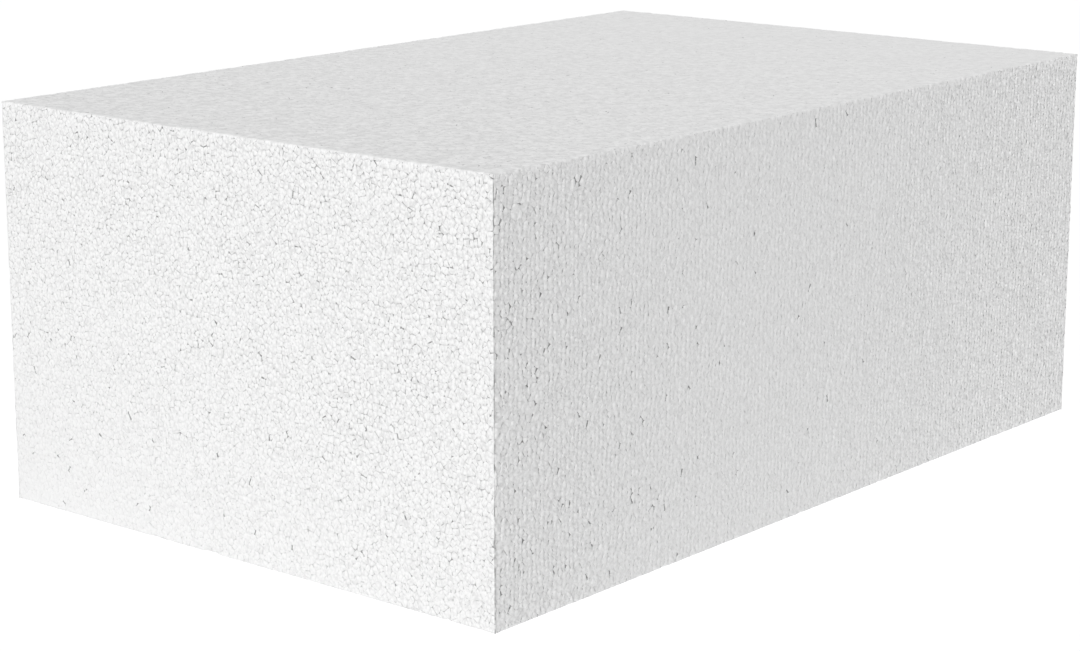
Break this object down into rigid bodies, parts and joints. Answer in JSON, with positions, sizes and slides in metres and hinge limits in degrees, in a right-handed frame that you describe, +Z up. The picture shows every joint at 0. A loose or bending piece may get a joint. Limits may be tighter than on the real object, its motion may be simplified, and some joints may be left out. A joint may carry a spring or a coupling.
{
  "type": "floral foam brick",
  "caption": "Large rectangular block of white expanded-polystyrene foam with crisp hot-wire-cut edges, a stiff base for floral and craft work.",
  "frame": {"origin": "middle of the underside", "axes": "+X along the length (431.8 mm), +Y along the width (279.4 mm), +Z up (177.8 mm)"},
  "size_m": [0.4318, 0.2794, 0.1778],
  "materials": {
    "bead_foam": "matte white fused polystyrene beads, hot-wire cut"
  },
  "bodies": {
    "root": {"foam_block": "bead_foam"}
  },
  "joints": []
}
